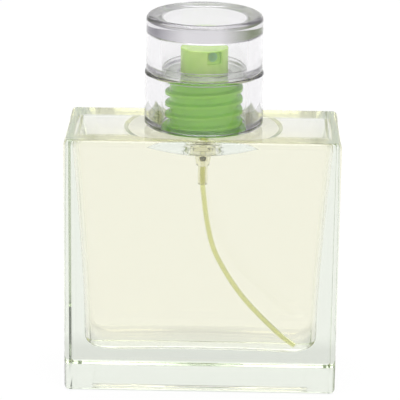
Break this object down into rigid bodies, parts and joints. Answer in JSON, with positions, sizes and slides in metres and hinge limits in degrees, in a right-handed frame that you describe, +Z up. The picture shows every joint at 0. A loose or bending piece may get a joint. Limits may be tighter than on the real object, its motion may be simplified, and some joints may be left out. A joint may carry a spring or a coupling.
{
  "type": "aftershave bottle",
  "caption": "Clear glass block bottle with spray pump, curved dip tube, green threaded sleeve, clear collar and clear pull-off cap.",
  "frame": {"origin": "middle of the underside, on the surface that the bottle stands on", "axes": "+Z up along the neck, -Y the wide front face, +X to the right seen from the front"},
  "size_m": [0.08, 0.038, 0.1105],
  "materials": {
    "clear_glass": "fire-polished soda-lime glass, faint green",
    "aftershave": "clear pale yellow-green liquid",
    "label_film": "clear bare film",
    "clear_plastic": "clear moulded SAN, polished",
    "green_plastic": "translucent green moulded polypropylene",
    "nozzle_plastic": "pale green moulded acetal",
    "natural_plastic": "natural moulded polypropylene",
    "tube_plastic": "extruded natural polyethylene",
    "gasket_rubber": "dark moulded elastomer",
    "ferrule_metal": "bright drawn aluminium",
    "spring_steel": "drawn stainless wire"
  },
  "bodies": {
    "flask": {"bottle": "clear_glass", "liquid": "aftershave", "base_label": "label_film", "neck_gasket": "gasket_rubber", "crimp_ferrule": "ferrule_metal", "pump_housing": "natural_plastic", "turret": "natural_plastic", "stem_gasket": "gasket_rubber", "return_spring": "spring_steel", "dip_tube": "tube_plastic", "thread_sleeve": "green_plastic", "collar": "clear_plastic"},
    "plunger": {"stem": "natural_plastic", "valve_pin": "natural_plastic", "valve_spring": "spring_steel"},
    "sealing_piston": {"piston": "natural_plastic"},
    "finger_button": {"actuator": "green_plastic", "nozzle_insert": "nozzle_plastic"},
    "ball_valve": {"inlet_ball": "spring_steel"},
    "cover": {"cap": "clear_plastic"}
  },
  "joints": [
    {"name": "pump_press", "type": "slide", "parent": "flask", "child": "plunger", "axis": [0, 0, -1], "range_m": [0, 0.004], "stiffness_N_per_m": 1500, "springref_m": -0.003, "deforming": ["return_spring"]},
    {"name": "piston_slip", "type": "slide", "parent": "plunger", "child": "sealing_piston", "axis": [0, 0, 1], "range_m": [0, 0.0005], "stiffness_N_per_m": 800, "springref_m": -0.001, "deforming": ["valve_spring"]},
    {"name": "button_turn", "type": "hinge", "parent": "plunger", "child": "finger_button", "pos_m": [0, 0, 0.0965], "axis": [0, 0, 1], "continuous": true},
    {"name": "ball_lift", "type": "slide", "parent": "flask", "child": "ball_valve", "axis": [0, 0, 1], "range_m": [0, 0.0006]},
    {"name": "cap_pull", "type": "slide", "parent": "flask", "child": "cover", "axis": [0, 0, 1], "range_m": [0, 0.04]}
  ]
}
